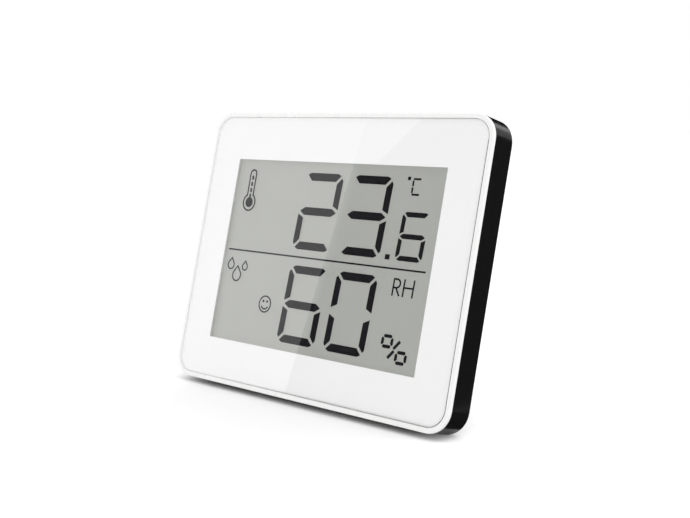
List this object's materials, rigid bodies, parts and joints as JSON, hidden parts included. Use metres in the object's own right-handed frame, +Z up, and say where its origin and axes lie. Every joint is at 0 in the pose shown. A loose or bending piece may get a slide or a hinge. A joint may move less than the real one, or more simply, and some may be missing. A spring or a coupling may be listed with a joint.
{
  "type": "hygrometer",
  "caption": "Slim digital room hygrometer with thermometer, white front, black back, fold-out stand and coin-cell door.",
  "frame": {"origin": "on the table plane, below the middle of the standing instrument", "axes": "+Z up, the display faces -Y and leans back 14 degrees, +X to the viewer's right"},
  "size_m": [0.11, 0.0322, 0.0852],
  "materials": {
    "white_frame": "white moulded plastic, satin gloss",
    "clear_pane": "clear hard-coated plastic pane, high gloss",
    "white_print": "white screen print",
    "tape": "thin double-sided tape",
    "polariser": "neutral polariser film",
    "display_glass": "thin display glass",
    "seal": "epoxy seal",
    "segments": "dark liquid crystal segments",
    "reflector": "grey-green diffuse reflector",
    "holder": "off-white moulded plastic",
    "rubber_strip": "layered silicone connector strip",
    "board": "green solder mask on glass laminate",
    "resin": "black potting resin",
    "tin": "tin-plated metal",
    "ceramic": "brown ceramic chip parts",
    "chip_black": "black chip parts",
    "sensor_white": "white sensor housing",
    "plunger": "natural plastic",
    "black_case": "fine-textured black plastic",
    "black_button": "smooth black plastic",
    "steel": "bright steel",
    "black_screw": "blackened steel"
  },
  "bodies": {
    "case": {"front_frame": "white_frame", "window_lens": "clear_pane", "window_mask": "white_print", "lens_tape": "tape", "lcd_front_polariser": "polariser", "lcd_front_glass": "display_glass", "lcd_seal": "seal", "lcd_digits": "segments", "lcd_symbols": "segments", "lcd_rear_glass": "display_glass", "lcd_reflector": "reflector", "lcd_holder": "holder", "zebra_top": "rubber_strip", "zebra_bottom": "rubber_strip", "main_board": "board", "controller_blob": "resin", "clock_crystal": "tin", "smd_capacitors": "ceramic", "smd_resistors": "chip_black", "humidity_sensor": "sensor_white", "thermistor": "chip_black", "unit_switch": "chip_black", "memory_switch": "chip_black", "rear_case": "black_case", "board_screws": "steel", "case_screws": "black_screw", "coin_cell": "steel", "contact_plus": "tin", "contact_minus": "tin", "stand_pin": "steel"},
    "stand": {"stand": "black_case"},
    "battery_door": {"battery_door": "black_button"},
    "unit_button": {"unit_button": "black_button", "unit_plunger": "plunger"},
    "memory_button": {"memory_button": "black_button", "memory_plunger": "plunger"}
  },
  "joints": [
    {"name": "stand_hinge", "type": "hinge", "parent": "case", "child": "stand", "pos_m": [0, 0.00439, 0.05036], "axis": [1, 0, 0], "range_deg": [-25.8, 0]},
    {"name": "battery_door_turn", "type": "hinge", "parent": "case", "child": "battery_door", "pos_m": [-0.03, 0.0094, 0.06715], "axis": [0, 0.9703, -0.2419], "range_deg": [0, 45]},
    {"name": "unit_button_press", "type": "slide", "parent": "case", "child": "unit_button", "axis": [0, -0.9703, 0.2419], "range_m": [0, 0.0004], "stiffness_N_per_m": 2500},
    {"name": "memory_button_press", "type": "slide", "parent": "case", "child": "memory_button", "axis": [0, -0.9703, 0.2419], "range_m": [0, 0.0004], "stiffness_N_per_m": 2500}
  ]
}
